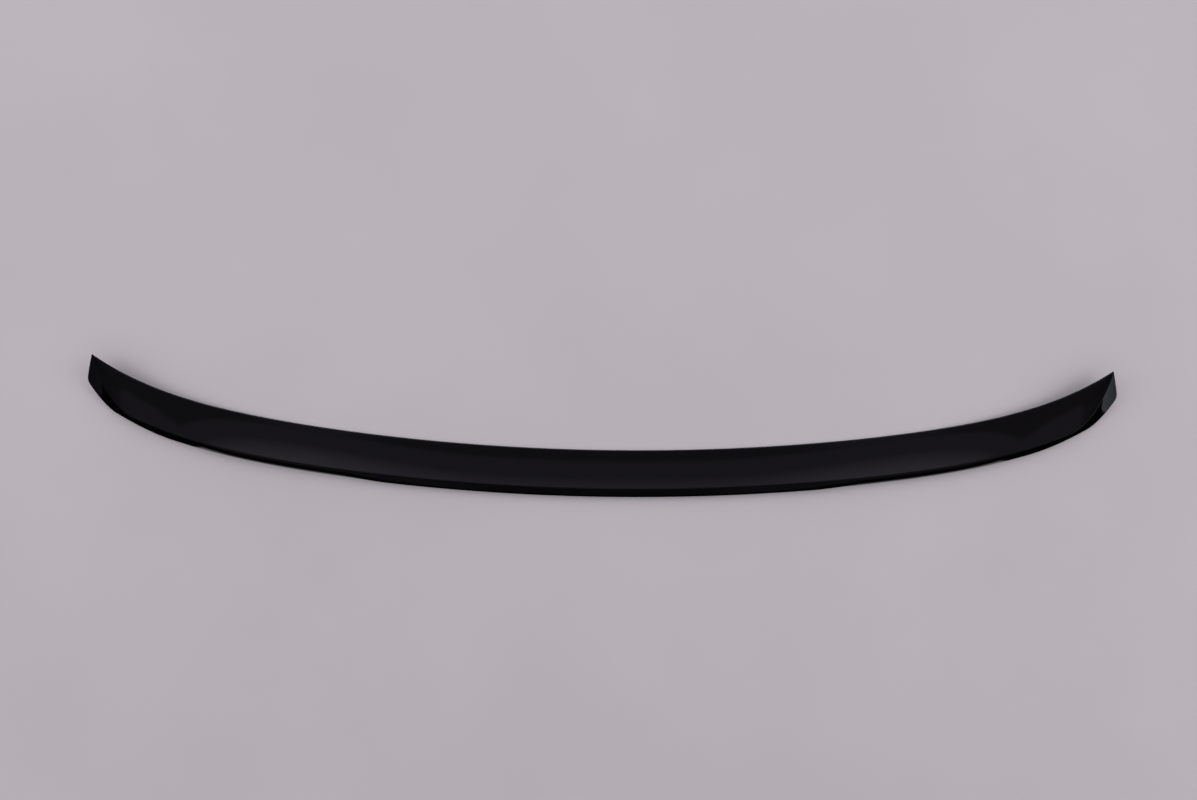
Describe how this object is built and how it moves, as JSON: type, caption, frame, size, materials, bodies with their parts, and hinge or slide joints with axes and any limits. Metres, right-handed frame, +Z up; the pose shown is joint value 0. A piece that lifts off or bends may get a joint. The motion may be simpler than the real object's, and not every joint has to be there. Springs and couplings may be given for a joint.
{
  "type": "lip spoiler",
  "caption": "Long swept lip spoiler for a boot lid, with a raised rear lip, pointed ends and an open ribbed underside.",
  "frame": {"origin": "middle of the overall plan box, on the flat bonding face", "axes": "+X along the lip, +Y to the leading edge, +Z up, away from the lid"},
  "size_m": [1.12, 0.146, 0.0272],
  "materials": {
    "gloss_black": "gloss"
  },
  "bodies": {
    "root": {"lip_spoiler": "gloss_black"}
  },
  "joints": []
}
